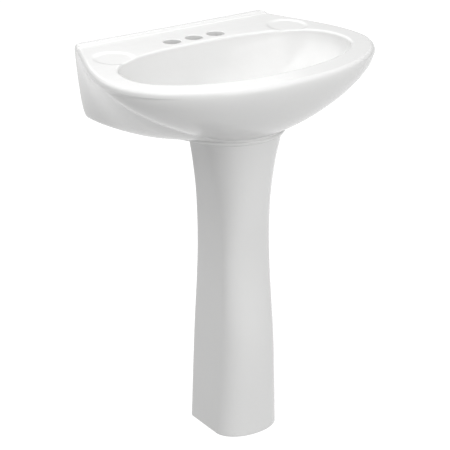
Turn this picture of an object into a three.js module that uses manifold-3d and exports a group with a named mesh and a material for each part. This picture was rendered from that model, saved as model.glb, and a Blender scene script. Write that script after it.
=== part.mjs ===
// Pedestal wash basin: a vitreous china basin on a china pedestal, with its click drain,
// tailpiece and the two hanger bolts that hold the basin to the wall.
// Millimetres, +Z up, +Y to the wall. The design frame has its origin on the floor, straight
// below the middle tap hole; the whole assembly is then slid along Y to centre its box.

import * as THREE from 'three';
import { mergeVertices } from 'three/addons/utils/BufferGeometryUtils.js';
import Module from 'manifold-3d';

const wasm = await Module();
wasm.setup();

// ---------------------------------------------------------------- driving dimensions

const DECK_Z = 795;                 // deck of the basin above the floor
const BACK_Y = 93;                  // face that meets the wall
const CENTRE_Y = -160;              // middle of the bowl, behind the front of the column
const HALF_WIDTH = 292.5;           // widest place of the rim
const WIDEST_Y = -155;
const FRONT_Y = -354;
const RIM_POWER = 2.07;             // superellipse power of the front of the rim
const RIM_ROUND = 10;               // rounding of the rim's outer edge
const BACK_HALF = 223;              // half width at the wall
const BACK_CORNER_R = 10;
const BACK_CORNER_TURN = 1.2;       // the corner's arc in radians, before the side takes over

const LEDGE_Y = 76;                 // splash ledge along the back of the deck
const LEDGE_H = 4;
const LEDGE_SLOPE = 9;

const HOLE_SPACING = 50.8;          // four inch centre set: two outer holes at 101.6
const HOLE_R = 17.5;
const DECK_THICK = 16;

const BOWL_HALF = 245;              // bowl at its rim
const BOWL_BACK = 124;
const BOWL_FRONT = 136;
const BOWL_DEPTH = 134;
const BOWL_POWER = 1.6;
const BOWL_LIP = 7;
const BOWL_WALL = 10;

const DRAIN_Y = -150;
const DRAIN_HOLE_R = 22.5;
const DRAIN_SEAT_R = 34;
const DRAIN_SEAT_DEPTH = 138;
const BOSS_R = 41;
const BOSS_DEPTH = 168;

const SKIRT_DEPTH = 154;            // flat foot of the basin below the deck
const LIP_H = 7;                    // bead round the front of the foot, dying away along the sides
const LIP_OUT = 1.5;
const HULL_TOP = 12;
const HULL_DEPTH = 142.4;           // depth where the bowl's outside would close
const HULL_POWER = 1.48;
const HULL_ROOT = 1.5;
const HULL_CENTRE_Y = -203;
const HULL_BACK = 240;
const SKIRT_POWER_BACK = 0.3;       // how fast the skirt flares above its foot
const SKIRT_POWER_FRONT = 1.6;
const SKIRT_POWER_TURN = 2.2;       // how late, going round, the front's flare sets in
const NECK_DEPTH = SKIRT_DEPTH - LIP_H;
const SHARP_EDGE = 0.5;
const SHELL = 14;                   // skirt wall, measured level
const BACK_WALL = 12;
const SEAT_HALF = 64;               // opening inside the pedestal's seat
const SEAT_Y = -150;
const WALL_BOLT_X = 150;
const WALL_BOLT_DEPTH = 72;
const WALL_HOLE_R = 8;
const BOLT_OUT = 32;                // hanger bolt thread standing out behind the basin
const BOLT_IN = 46;                 // and running forward of the wall face
const BOLT_POINT = 8;
const BOLT_R = 4;
const WALL_CUSHION = { outer: 14, bore: 4.6, thick: 2.5 };
const WALL_WASHER = { outer: 12, bore: 4.4, thick: 1.6 };
const WALL_NUT = { across: 13, bore: 4.3, thick: 6.8 };

const PEDESTAL_WALL = 12;
const PEDESTAL_LEVELS = 16;
const BACK_FLANGE = 24;             // edges turned in along the open back
const FLANGE_ROUND = 9;
const FLANGE_ROUND_IN = 3;

const TUBE_R = 19.5;                // drain body thread
const TUBE_BORE = 16.5;
const TUBE_END = 232;
const FLANGE_R = 32;
const FLANGE_TOP = 136;
const FLANGE_DISH = 136.9;          // lowest part of the dished top, where the seal lies
const FLANGE_UNDER = 138.6;
const SLOT_DEPTH = 155;             // overflow windows through the tube
const SLOT_SIZE = [60, 10, 12];
const FLANGE_RING = { bore: 23.2, outer: 32, top: 138.9, under: 140.7 };
const CONE_WASHER = { bore: 20.3, nose: 21.6, neck: 22.1, outer: 31, top: 163, step: 168.3, under: 176 };
const SLIP_WASHER = { bore: 20.3, outer: 30, top: 176.3, under: 177.5 };
const LOCKNUT = { across: 56, bore: 20.2, thick: 11, under: 188.8 };
const TAIL_R = 15.9;                // inch and a quarter tailpiece
const TAIL_BORE = 14.4;
const TAIL_TOP = 212;
const TAIL_END = 400;
const TAIL_COLLAR = { outer: 19.3, top: 234.1, under: 238 };
const TAIL_RING = { bore: 16.4, outer: 19.3, top: 232.3, under: 233.8 };
const CARTRIDGE_TOP = 150;
const CARTRIDGE_END = 192;
const CARTRIDGE_HUB = { bore: 4.8, outer: 7.5, floor: 3 };
const CARTRIDGE_RIM = { bore: 13.8, outer: 16.1, tall: 8 };
const CARTRIDGE_RIB = { long: 8.5, thick: 2.4, tall: 7, middle: 10.6 };
const SPRING = { radius: 3.4, wire: 0.6, tall: 19, turns: 5, foot: 188 };
const STEM = { radius: 4.3, end: 168, head: 6.5, shoulder: 141, top: 135.1 };
const STOPPER_RING = { bore: 20, outer: 25, top: 135.1, under: 136.5 };
const CAP_PROFILE = [[0, 134.8], [27.5, 134.8], [29, 134], [28.6, 133], [19, 131.4], [0, 130.8]];
const GAP = 0.3;

const FRONT_TO_BOLT = BACK_Y + BOLT_OUT - FRONT_Y;
const CENTRE_SHIFT = FRONT_TO_BOLT / 2 - (BACK_Y + BOLT_OUT);

// ---------------------------------------------------------------- materials

function material(color, roughness, metalness) {
  return new THREE.MeshStandardMaterial({ color, roughness, metalness });
}

const china = material(0xf4f4f2, 0.12, 0);
const chrome = material(0xd9dbdd, 0.12, 1);
const rawBrass = material(0xb9974f, 0.35, 1);
const zincSteel = material(0xaeb0b2, 0.4, 1);
const blackRubber = material(0x1d1d1e, 0.8, 0);
const whiteNylon = material(0xe9e8e2, 0.5, 0);
const springSteel = material(0x9ea1a5, 0.3, 1);

// ---------------------------------------------------------------- solids

const sink = new THREE.Group();

function place(name, geometry, mat, x = 0, y = 0, z = 0) {
  const mesh = new THREE.Mesh(geometry, mat);
  mesh.name = name;
  mesh.position.set(x, y, z);
  sink.add(mesh);
  return mesh;
}

function lathe(points, segments = 24) {
  const profile = points.map(([r, z]) => new THREE.Vector2(r, z));
  profile.push(profile[0].clone());
  const turned = new THREE.LatheGeometry(profile, segments);
  turned.rotateX(Math.PI / 2);
  return closeUp(turned);
}

function closeUp(geometry) {
  const bare = geometry.clone();
  bare.deleteAttribute('normal');
  bare.deleteAttribute('uv');
  const merged = mergeVertices(bare, 1e-4);
  return signedVolume(merged) < 0 ? flipped(merged) : merged;
}

function signedVolume(geometry) {
  const position = geometry.attributes.position;
  const index = geometry.index;
  const corner = [new THREE.Vector3(), new THREE.Vector3(), new THREE.Vector3()];
  let total = 0;
  for (let i = 0; i < index.count; i += 3) {
    corner.forEach((v, k) => v.fromBufferAttribute(position, index.getX(i + k)));
    total += corner[0].dot(corner[1].cross(corner[2])) / 6;
  }
  return total;
}

function flipped(geometry) {
  const order = Array.from(geometry.index.array);
  for (let i = 0; i < order.length; i += 3) {
    [order[i], order[i + 1]] = [order[i + 1], order[i]];
  }
  geometry.setIndex(order);
  return geometry;
}

// A closed body from rings of equal length: each ring closes on itself, and so does the list.
function ringLoft(rings) {
  const count = rings[0].length;
  const positions = rings.flat().flatMap((p) => [p.x, p.y, p.z]);
  const order = [];
  rings.forEach((_, i) => {
    const next = (i + 1) % rings.length;
    for (let j = 0; j < count; j += 1) {
      const k = (j + 1) % count;
      const [a, b, c, d] = [i * count + j, i * count + k, next * count + k, next * count + j];
      order.push(a, b, c, a, c, d);
    }
  });
  const geometry = new THREE.BufferGeometry();
  geometry.setAttribute('position', new THREE.Float32BufferAttribute(positions, 3));
  geometry.setIndex(order);
  return closeUp(geometry);
}

function toManifold(geometry) {
  const vertProperties = new Float32Array(geometry.attributes.position.array);
  const triVerts = new Uint32Array(geometry.index.array);
  return new wasm.Manifold(new wasm.Mesh({ numProp: 3, vertProperties, triVerts }));
}

function fromManifold(solid) {
  const mesh = solid.getMesh();
  const geometry = new THREE.BufferGeometry();
  geometry.setAttribute('position', new THREE.Float32BufferAttribute(mesh.vertProperties, 3));
  geometry.setIndex(Array.from(mesh.triVerts));
  return mergeVertices(geometry, 1e-3);
}

function cutAway(body, tools) {
  const solid = tools.reduce((left, tool) => left.subtract(toManifold(closeUp(tool))), toManifold(body));
  return fromManifold(solid);
}

function upright(radius, zLow, zHigh, x, y, segments = 28) {
  const rod = new THREE.CylinderGeometry(radius, radius, zHigh - zLow, segments);
  rod.rotateX(Math.PI / 2);
  rod.translate(x, y, (zLow + zHigh) / 2);
  return rod;
}

// ---------------------------------------------------------------- outlines seen from above

function smooth(low, high, value) {
  return THREE.MathUtils.smoothstep(value, low, high);
}

function curvePoints(corners, steps) {
  const [a, b, c, d] = corners.map(([x, y]) => new THREE.Vector2(x, y));
  return new THREE.CubicBezierCurve(a, b, c, d).getPoints(steps);
}

// Right half of the rim, from the middle of the back round to the middle of the front.
function rimOutline() {
  const points = [new THREE.Vector2(0, BACK_Y), new THREE.Vector2(BACK_HALF - BACK_CORNER_R, BACK_Y)];
  for (let step = 1; step <= 3; step += 1) {
    const turn = (step / 3) * BACK_CORNER_TURN;
    const x = BACK_HALF - BACK_CORNER_R + BACK_CORNER_R * Math.sin(turn);
    const y = BACK_Y - BACK_CORNER_R + BACK_CORNER_R * Math.cos(turn);
    points.push(new THREE.Vector2(x, y));
  }
  const side = [[BACK_HALF - 0.5, 85], [252, 0], [HALF_WIDTH, -80], [HALF_WIDTH, WIDEST_Y]];
  points.push(...curvePoints(side, 24).slice(1));
  points.push(...superellipse(HALF_WIDTH, FRONT_Y - WIDEST_Y, RIM_POWER, WIDEST_Y).slice(1));
  return points;
}

function superellipse(across, along, power, middleY, steps = 36) {
  const points = [];
  for (let step = 0; step <= steps; step += 1) {
    const turn = (step / steps) * (Math.PI / 2);
    const x = across * Math.max(Math.cos(turn), 0) ** (2 / power);
    const y = middleY + along * Math.sin(turn) ** (2 / power);
    points.push(new THREE.Vector2(x, y));
  }
  return points;
}

// Right half of the flat foot of the skirt: square behind, drawn in to a round nose in front.
function footOutline() {
  const points = [new THREE.Vector2(0, BACK_Y), new THREE.Vector2(184, BACK_Y), new THREE.Vector2(193, 86)];
  points.push(...curvePoints([[194, 78], [193, 0], [145, -92], [110, -151]], 20));
  points.push(...curvePoints([[110, -151], [98, -185], [60, -239.5], [0, -239.5]], 20).slice(1));
  return points;
}

// Right half of the opening in the foot: the pedestal's seat lies between it and the foot.
function openingOutline() {
  const inner = BACK_Y - BACK_WALL;
  const points = [[0, inner], [172, inner], [180, inner - 8]].map(([x, y]) => new THREE.Vector2(x, y));
  points.push(...curvePoints([[180, 66], [176, 10], [72, -70], [SEAT_HALF, -110]], 16));
  points.push(...superellipse(SEAT_HALF, -SEAT_HALF, 2, SEAT_Y, 12));
  return points;
}

// Right half of the oval that the outside of the bowl follows.
function hullOval() {
  const front = superellipse(HALF_WIDTH, FRONT_Y - WIDEST_Y, RIM_POWER, WIDEST_Y);
  const back = superellipse(HALF_WIDTH, HULL_BACK, 2, WIDEST_Y).reverse();
  return [...back, ...front.slice(1)];
}

// Distance from the middle of the bowl to an outline, in the direction `turn` from the back.
function reach(outline, turn) {
  const dx = Math.abs(Math.sin(turn));
  const dy = Math.cos(turn);
  for (let i = 0; i + 1 < outline.length; i += 1) {
    const [ax, ay] = [outline[i].x, outline[i].y - CENTRE_Y];
    const [ex, ey] = [outline[i + 1].x - ax, outline[i + 1].y - CENTRE_Y - ay];
    const bend = dx * ey - dy * ex;
    if (Math.abs(bend) < 1e-9) continue;
    const along = (dy * ax - dx * ay) / bend;
    const distance = (ax * ey - ay * ex) / bend;
    if (along >= -1e-6 && along <= 1 + 1e-6 && distance > 0) return distance;
  }
  throw new Error('outline has a gap');
}

// ---------------------------------------------------------------- basin

const RIM = rimOutline();
const FOOT = footOutline();
const OVAL = hullOval();
const OPENING = openingOutline();

// Outside of the basin at a depth below the deck: the bowl's round hull, or the skirt that runs
// from the square back corners down to the foot, whichever stands out further.
function outsideReach(turn, depth) {
  return Math.min(reach(RIM, turn), Math.max(skirtReach(turn, depth), hullReach(turn, depth)));
}

function skirtReach(turn, depth) {
  const neckDepth = THREE.MathUtils.lerp(SKIRT_DEPTH - SHARP_EDGE, NECK_DEPTH, frontness(turn));
  const rise = THREE.MathUtils.clamp((neckDepth - depth) / (neckDepth - HULL_TOP), 0, 1);
  const front = ((1 - Math.cos(turn)) / 2) ** SKIRT_POWER_TURN;
  const power = THREE.MathUtils.lerp(SKIRT_POWER_BACK, SKIRT_POWER_FRONT, front);
  return THREE.MathUtils.lerp(reach(FOOT, turn), reach(RIM, turn), rise ** power);
}

// The hull closes just above the foot, where it no longer goes round the middle of the bowl.
function hullReach(turn, depth) {
  const sunk = THREE.MathUtils.clamp((depth - HULL_TOP) / HULL_DEPTH, 0, 1);
  const shrink = (1 - sunk ** HULL_POWER) ** (1 / HULL_ROOT);
  const shrunk = OVAL.map((p) => (
    new THREE.Vector2(p.x * shrink, HULL_CENTRE_Y + (p.y - HULL_CENTRE_Y) * shrink)));
  return shrunk[0].y > CENTRE_Y + 1 ? reach(shrunk, turn) : 0;
}

// 0 along the wall and the sides, rising to 1 round the front.
function frontness(turn) {
  return smooth(0.2, 0.6, (1 - Math.cos(turn)) / 2);
}

function bowlEdge(turn) {
  const back = Math.cos(turn) > 0;
  const along = back ? BOWL_BACK : BOWL_FRONT;
  const power = back ? 2.6 : 2.12;
  const sum = (Math.abs(Math.sin(turn)) / BOWL_HALF) ** power + (Math.abs(Math.cos(turn)) / along) ** power;
  return sum ** (-1 / power);
}

// Bowl surface from the drain (share 0) to the rim (share 1), pushed out by `offset`.
function bowlPoint(turn, share, offset) {
  const tilt = share * (Math.PI / 2);
  const open = Math.sin(tilt) ** (2 / BOWL_POWER);
  const depth = BOWL_DEPTH * Math.max(Math.cos(tilt), 0) ** (2 / BOWL_POWER);
  const radius = THREE.MathUtils.lerp(DRAIN_SEAT_R + 2, bowlEdge(turn), open) + offset * Math.sin(tilt);
  const middle = THREE.MathUtils.lerp(DRAIN_Y, CENTRE_Y, open);
  return { radius, middle, depth: depth + 4 + offset * Math.cos(tilt) };
}

function basinTurns() {
  const half = [0, 9, 18, 27, 34, 38.5, 41.2, 42.6, 46, 53, 60, 68, 76, 84, 92, 100,
    108, 116, 124, 132, 140, 148, 156, 164, 172];
  const other = half.slice(1).map((degrees) => 360 - degrees).reverse();
  return [...half, 180, ...other].map(THREE.MathUtils.degToRad);
}

function ringAt(turns, row) {
  return turns.map((turn) => {
    const { radius, middle, depth } = row(turn);
    const x = radius * Math.sin(turn);
    const y = middle + radius * Math.cos(turn);
    return new THREE.Vector3(x, y, DECK_Z - depth);
  });
}

function deckDepth(radius, turn) {
  const y = CENTRE_Y + radius * Math.cos(turn);
  return -LEDGE_H * smooth(LEDGE_Y - LEDGE_SLOPE, LEDGE_Y, y);
}

// Distance to the rim outline, but no further back than the line y.
function reachBefore(y, margin, turn) {
  const rim = reach(RIM, turn) - margin;
  return Math.cos(turn) > 0.05 ? Math.min(rim, (y - CENTRE_Y) / Math.cos(turn)) : rim;
}

function basinRows() {
  const rows = [];
  const round = (radius, depth) => rows.push(() => ({ radius, middle: DRAIN_Y, depth }));
  const level = (reachOf, depthOf) => rows.push((turn) => {
    const radius = reachOf(turn);
    return { radius, middle: CENTRE_Y, depth: depthOf(radius, turn) };
  });
  round(DRAIN_HOLE_R, BOSS_DEPTH);
  round(DRAIN_HOLE_R, DRAIN_SEAT_DEPTH + 3);
  round(DRAIN_SEAT_R, DRAIN_SEAT_DEPTH + 3);
  for (const share of [0, 0.22, 0.4, 0.56, 0.72, 0.87, 1]) {
    rows.push((turn) => bowlPoint(turn, share, 0));
  }
  level((turn) => bowlEdge(turn) + 2.2, () => 1.2);
  level((turn) => bowlEdge(turn) + BOWL_LIP, () => 0);
  level((turn) => reachBefore(LEDGE_Y - LEDGE_SLOPE, RIM_ROUND + 6, turn), () => 0);
  level((turn) => reachBefore(LEDGE_Y, RIM_ROUND + 3, turn), deckDepth);
  for (const tilt of [0, 40, 90]) {
    const turned = THREE.MathUtils.degToRad(tilt);
    level((turn) => reach(RIM, turn) - RIM_ROUND * (1 - Math.sin(turned)),
      (radius, turn) => deckDepth(radius, turn) + RIM_ROUND * (1 - Math.cos(turned)));
  }
  for (const depth of [25, 44, 64, 84, 104, 121, 136, NECK_DEPTH]) {
    level((turn) => outsideReach(turn, depth), () => depth);
  }
  for (const depth of [NECK_DEPTH + 2, SKIRT_DEPTH - 1.5]) {
    level((turn) => outsideReach(turn, depth) + LIP_OUT * frontness(turn), () => depth);
  }
  level((turn) => reach(FOOT, turn), () => SKIRT_DEPTH);
  level((turn) => reach(OPENING, turn), () => SKIRT_DEPTH);
  for (const depth of [142, 112, 66, DECK_THICK]) {
    level((turn) => cavityReach(turn, depth), () => depth);
  }
  for (const share of [0.92, 0.74, 0.56, 0.36, 0.14]) {
    rows.push((turn) => bowlPoint(turn, share, BOWL_WALL));
  }
  round(BOSS_R, BOSS_DEPTH - 14);
  round(BOSS_R - 1, BOSS_DEPTH);
  return rows;
}

function cavityReach(turn, depth) {
  const inside = outsideReach(turn, depth) - SHELL;
  return Math.max(inside, underBowlReach(turn, depth) + 5);
}

// Underside of the bowl at a depth, as a distance from the middle of the bowl.
function underBowlReach(turn, depth) {
  let widest = 0;
  for (let share = 0.14; share <= 1; share += 0.02) {
    const under = bowlPoint(turn, share, BOWL_WALL);
    if (under.depth >= depth) widest = under.radius + (under.middle - CENTRE_Y) * Math.cos(turn);
  }
  return widest;
}

function basin() {
  const turns = basinTurns();
  const blank = ringLoft(basinRows().map((row) => ringAt(turns, row)));
  const cutters = [-HOLE_SPACING, 0, HOLE_SPACING].map((x) => (
    upright(HOLE_R, DECK_Z - DECK_THICK - 20, DECK_Z + 10, x, 0)));
  for (const x of [-WALL_BOLT_X, WALL_BOLT_X]) {
    const bore = new THREE.CylinderGeometry(WALL_HOLE_R, WALL_HOLE_R, 60, 20);
    bore.translate(x, BACK_Y - 10, DECK_Z - WALL_BOLT_DEPTH);
    cutters.push(bore);
  }
  return cutAway(blank, cutters);
}

place('basin', basin(), china);

// ---------------------------------------------------------------- pedestal

// Depth below the deck, half width, back edge, middle of the round front, and its depth.
const COLUMN_STATIONS = [
  [SKIRT_DEPTH + GAP, 86, -103, -152, 85],
  [220, 70, -92, -153, 74],
  [300, 56, -80, -167, 51],
  [420, 54, -77, -175, 34],
  [600, 61, -69, -172, 50],
  [DECK_Z, 70, -66, -164, 50],
];

function columnAt(depth) {
  const reached = COLUMN_STATIONS.findIndex((station) => station[0] >= depth);
  const last = Math.max(reached, 1);
  const pick = (i) => COLUMN_STATIONS[THREE.MathUtils.clamp(i, 0, COLUMN_STATIONS.length - 1)];
  const [before, from, to, after] = [-2, -1, 0, 1].map((step) => pick(last + step));
  const share = (depth - from[0]) / (to[0] - from[0]);
  const [half, back, middle, front] = [1, 2, 3, 4].map((column) => {
    const span = to[0] - from[0];
    const startSlope = from === before ? (to[column] - from[column]) / span
      : (to[column] - before[column]) / (to[0] - before[0]);
    const endSlope = to === after ? (to[column] - from[column]) / span
      : (after[column] - from[column]) / (after[0] - from[0]);
    const [s2, s3] = [share ** 2, share ** 3];
    return (2 * s3 - 3 * s2 + 1) * from[column] + (s3 - 2 * s2 + share) * span * startSlope
      + (3 * s2 - 2 * s3) * to[column] + (s3 - s2) * span * endSlope;
  });
  return { half, back, middle, front };
}

// Outer and inner point of the wall for each place along the U, from the back flange to the front.
function halfWall({ half, back, middle, front }) {
  const wall = PEDESTAL_WALL;
  const pairs = [[[half - BACK_FLANGE, back], [half - BACK_FLANGE, back - wall]]];
  for (const degrees of [0, 30, 60, 90]) {
    const turn = THREE.MathUtils.degToRad(degrees);
    const [s, c] = [1 - Math.sin(turn), 1 - Math.cos(turn)];
    pairs.push([
      [half - FLANGE_ROUND * s, back - FLANGE_ROUND * c],
      [half - wall - FLANGE_ROUND_IN * s, back - wall - FLANGE_ROUND_IN * c],
    ]);
  }
  for (let step = 0; step <= 9; step += 1) {
    const turn = (step / 9) * (Math.PI / 2);
    const [c, s] = [Math.max(Math.cos(turn), 0) ** 0.95, Math.sin(turn) ** 0.95];
    pairs.push([[half * c, middle - front * s], [(half - wall) * c, middle - (front - wall) * s]]);
  }
  return pairs;
}

function pedestal() {
  const levels = [];
  const topDepth = SKIRT_DEPTH + GAP;
  for (let i = 0; i <= PEDESTAL_LEVELS; i += 1) {
    const depth = DECK_Z + (topDepth - DECK_Z) * (i / PEDESTAL_LEVELS);
    const right = halfWall(columnAt(depth));
    const left = right.slice(0, -1).reverse().map((pair) => pair.map(([x, y]) => [-x, y]));
    const z = DECK_Z - depth;
    levels.push([...right, ...left].map((pair) => pair.map(([x, y]) => new THREE.Vector3(x, y, z))));
  }
  const rings = levels[0].map((_, j) => {
    const outer = levels.map((level) => level[j][0]);
    const inner = levels.map((level) => level[j][1]).reverse();
    return [...outer, ...inner];
  });
  return openLoft(rings);
}

// Like ringLoft, but the list of rings has two ends, each closed by a flat strip.
function openLoft(rings) {
  const count = rings[0].length;
  const positions = rings.flat().flatMap((p) => [p.x, p.y, p.z]);
  const order = [];
  for (let i = 0; i + 1 < rings.length; i += 1) {
    for (let j = 0; j < count; j += 1) {
      const k = (j + 1) % count;
      const [a, b, c, d] = [i * count + j, i * count + k, (i + 1) * count + k, (i + 1) * count + j];
      order.push(a, b, c, a, c, d);
    }
  }
  const lastRing = (rings.length - 1) * count;
  for (let j = 0; j + 1 < count / 2; j += 1) {
    const mate = count - 1 - j;
    order.push(j, mate, j + 1, j + 1, mate, mate - 1);
    order.push(lastRing + j, lastRing + j + 1, lastRing + mate);
    order.push(lastRing + j + 1, lastRing + mate - 1, lastRing + mate);
  }
  const geometry = new THREE.BufferGeometry();
  geometry.setAttribute('position', new THREE.Float32BufferAttribute(positions, 3));
  geometry.setIndex(order);
  return closeUp(geometry);
}

place('pedestal', pedestal(), china);

// ---------------------------------------------------------------- drain

// A turned piece on the drain's axis, its profile given as radius and depth below the deck.
function turned(name, profile, mat, segments = 24) {
  const points = profile.map(([radius, depth]) => [radius, -depth]);
  return place(name, lathe(points, segments), mat, 0, DRAIN_Y, DECK_Z);
}

// Profile of a plain ring, from its bore and outer radius and its two faces.
function ringProfile({ bore, outer, top, under }) {
  return [[bore, under], [outer, under], [outer, top], [bore, top]];
}

function hexRing({ across, bore, thick }) {
  const shape = new THREE.Shape();
  const corner = across / Math.sqrt(3);
  for (let i = 0; i < 6; i += 1) {
    const turn = (i / 6) * Math.PI * 2;
    const [x, y] = [corner * Math.cos(turn), corner * Math.sin(turn)];
    if (i === 0) shape.moveTo(x, y);
    else shape.lineTo(x, y);
  }
  shape.closePath();
  const hole = new THREE.Path();
  hole.absarc(0, 0, bore, 0, Math.PI * 2, true);
  shape.holes.push(hole);
  const settings = { depth: thick, bevelEnabled: false, curveSegments: 14 };
  return closeUp(new THREE.ExtrudeGeometry(shape, settings));
}

function drainBody() {
  const profile = [[TUBE_BORE, TUBE_END], [TUBE_R, TUBE_END], [TUBE_R, FLANGE_UNDER],
    [FLANGE_R, FLANGE_UNDER], [FLANGE_R + 0.8, FLANGE_UNDER - 1.2], [FLANGE_R, FLANGE_TOP],
    [FLANGE_R - 1, FLANGE_TOP], [FLANGE_R - 2.2, FLANGE_DISH],
    [TUBE_BORE + 2.5, FLANGE_DISH], [TUBE_BORE, FLANGE_DISH + 2.1]];
  const body = lathe(profile.map(([radius, depth]) => [radius, -depth]), 28);
  const slot = new THREE.BoxGeometry(...SLOT_SIZE);
  slot.translate(0, 0, -SLOT_DEPTH);
  return cutAway(body, [slot]);
}

function coneProfile({ bore, nose, neck, outer, top, step, under }) {
  return [[bore, under], [outer, under], [outer, step], [neck, step], [nose, top], [bore, top]];
}

function tailProfile({ outer, top, under }) {
  return [[TAIL_BORE, TAIL_END], [TAIL_R, TAIL_END], [TAIL_R, under], [outer, under], [outer, top],
    [TAIL_R, top], [TAIL_R, TAIL_TOP], [TAIL_BORE, TAIL_TOP]];
}

function stemProfile({ radius, end, head, shoulder, top }) {
  return [[0, end], [radius, end], [radius, shoulder], [head, shoulder], [head, top], [0, top]];
}

// The stopper's guide: a blind tube that hangs in the drain body from a rim on three ribs.
function cartridge() {
  const { bore, outer, floor } = CARTRIDGE_HUB;
  const hub = lathe([[0, -CARTRIDGE_END], [outer, -CARTRIDGE_END], [outer, -CARTRIDGE_TOP],
    [bore, -CARTRIDGE_TOP], [bore, floor - CARTRIDGE_END], [0, floor - CARTRIDGE_END]], 16);
  const rimUnder = CARTRIDGE_TOP + CARTRIDGE_RIM.tall;
  const rimShape = ringProfile({ ...CARTRIDGE_RIM, top: CARTRIDGE_TOP, under: rimUnder });
  const rim = lathe(rimShape.map(([radius, depth]) => [radius, -depth]));
  const ribs = [0, 1, 2].map((i) => {
    const rib = new THREE.BoxGeometry(CARTRIDGE_RIB.long, CARTRIDGE_RIB.thick, CARTRIDGE_RIB.tall);
    rib.translate(CARTRIDGE_RIB.middle, 0, -CARTRIDGE_TOP - CARTRIDGE_RIM.tall / 2);
    rib.rotateZ((i / 3) * Math.PI * 2 + Math.PI / 2);
    return rib;
  });
  const pieces = [hub, rim, ...ribs].map((piece) => toManifold(closeUp(piece)));
  return fromManifold(wasm.Manifold.union(pieces));
}

class Helix extends THREE.Curve {
  constructor(radius, height, turns) {
    super();
    Object.assign(this, { radius, height, turns });
  }

  getPoint(t, target = new THREE.Vector3()) {
    const turn = t * this.turns * Math.PI * 2;
    return target.set(this.radius * Math.cos(turn), this.radius * Math.sin(turn), this.height * t);
  }
}

function coilSpring({ radius, wire, tall, turns }) {
  const section = new THREE.Shape();
  section.absarc(0, 0, wire, 0, Math.PI * 2);
  const steps = turns * 8;
  const path = new Helix(radius, tall, turns);
  const coil = new THREE.ExtrudeGeometry(section, { steps, curveSegments: 4, extrudePath: path });
  return closeUp(coil);
}

place('drain_body', drainBody(), chrome, 0, DRAIN_Y, DECK_Z);
turned('flange_gasket', ringProfile(FLANGE_RING), blackRubber);
turned('tapered_washer', coneProfile(CONE_WASHER), blackRubber);
turned('friction_washer', ringProfile(SLIP_WASHER), whiteNylon);
place('drain_locknut', hexRing(LOCKNUT), rawBrass, 0, DRAIN_Y, DECK_Z - LOCKNUT.under);
turned('tailpiece_gasket', ringProfile(TAIL_RING), blackRubber);
turned('tailpiece', tailProfile(TAIL_COLLAR), chrome);
place('click_cartridge', cartridge(), whiteNylon, 0, DRAIN_Y, DECK_Z);
place('cartridge_spring', coilSpring(SPRING), springSteel, 0, DRAIN_Y, DECK_Z - SPRING.foot);
turned('stopper_stem', stemProfile(STEM), zincSteel, 20);
turned('stopper_seal', ringProfile(STOPPER_RING), blackRubber);
turned('stopper_cap', CAP_PROFILE, chrome, 28);

// ---------------------------------------------------------------- wall bolts

function lying(geometry) {
  geometry.rotateX(Math.PI / 2);
  return geometry;
}

function washer({ outer, bore, thick }) {
  return lying(lathe([[bore, 0], [outer, 0], [outer, thick], [bore, thick]], 18));
}

function hangerBolt() {
  const rod = new THREE.CylinderGeometry(BOLT_R, BOLT_R, BOLT_OUT + BOLT_IN - BOLT_POINT, 16);
  rod.translate(0, (BOLT_OUT - BOLT_POINT - BOLT_IN) / 2, 0);
  const point = new THREE.CylinderGeometry(1, BOLT_R, BOLT_POINT, 16);
  point.translate(0, BOLT_OUT - BOLT_POINT / 2, 0);
  return fromManifold(toManifold(closeUp(rod)).add(toManifold(closeUp(point))));
}

for (const [side, x] of [['left', -WALL_BOLT_X], ['right', WALL_BOLT_X]]) {
  const z = DECK_Z - WALL_BOLT_DEPTH;
  const cushionAt = BACK_Y - SHELL - GAP;
  const washerAt = cushionAt - WALL_CUSHION.thick - GAP;
  const nutAt = washerAt - WALL_WASHER.thick - GAP;
  place(`hanger_bolt_${side}`, hangerBolt(), zincSteel, x, BACK_Y, z);
  place(`rubber_washer_${side}`, washer(WALL_CUSHION), blackRubber, x, cushionAt, z);
  place(`steel_washer_${side}`, washer(WALL_WASHER), zincSteel, x, washerAt, z);
  place(`wall_nut_${side}`, lying(hexRing(WALL_NUT)), zincSteel, x, nutAt, z);
}

sink.position.y = CENTRE_SHIFT;
const group = new THREE.Group();
group.add(sink);

export default group;
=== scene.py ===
"""Pedestal wash basin: a china basin and column, its click drain and its wall bolts.

Sizes are in millimetres where a piece is drawn, and are turned to metres when its mesh is made.
X runs to the right, Y to the wall behind the basin and Z up from the floor.
"""

import math

import bpy
import numpy as np
from mathutils import Matrix, Vector


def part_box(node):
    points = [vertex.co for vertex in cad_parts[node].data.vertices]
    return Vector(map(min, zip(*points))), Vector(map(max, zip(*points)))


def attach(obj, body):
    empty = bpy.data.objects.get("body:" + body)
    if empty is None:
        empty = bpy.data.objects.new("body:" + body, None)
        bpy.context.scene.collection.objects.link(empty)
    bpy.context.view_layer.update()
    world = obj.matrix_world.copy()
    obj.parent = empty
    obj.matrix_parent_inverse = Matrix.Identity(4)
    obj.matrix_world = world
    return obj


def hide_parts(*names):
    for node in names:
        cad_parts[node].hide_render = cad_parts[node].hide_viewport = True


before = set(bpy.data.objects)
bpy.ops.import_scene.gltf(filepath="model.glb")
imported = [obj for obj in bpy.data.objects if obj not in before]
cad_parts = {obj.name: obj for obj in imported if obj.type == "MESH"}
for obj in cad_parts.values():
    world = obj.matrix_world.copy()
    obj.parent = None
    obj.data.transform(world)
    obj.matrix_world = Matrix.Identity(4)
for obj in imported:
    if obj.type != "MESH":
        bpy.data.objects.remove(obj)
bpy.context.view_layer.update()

# ------------------------------------------------------------------ basin
# One casting of vitreous china, glazed all over but for the flat foot under it. A flat deck
# with a splash ledge and two soap dishes runs round an oval bowl; outside, the round hull
# of the bowl grows out of a skirt that is square at the wall and narrow over the column.

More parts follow.
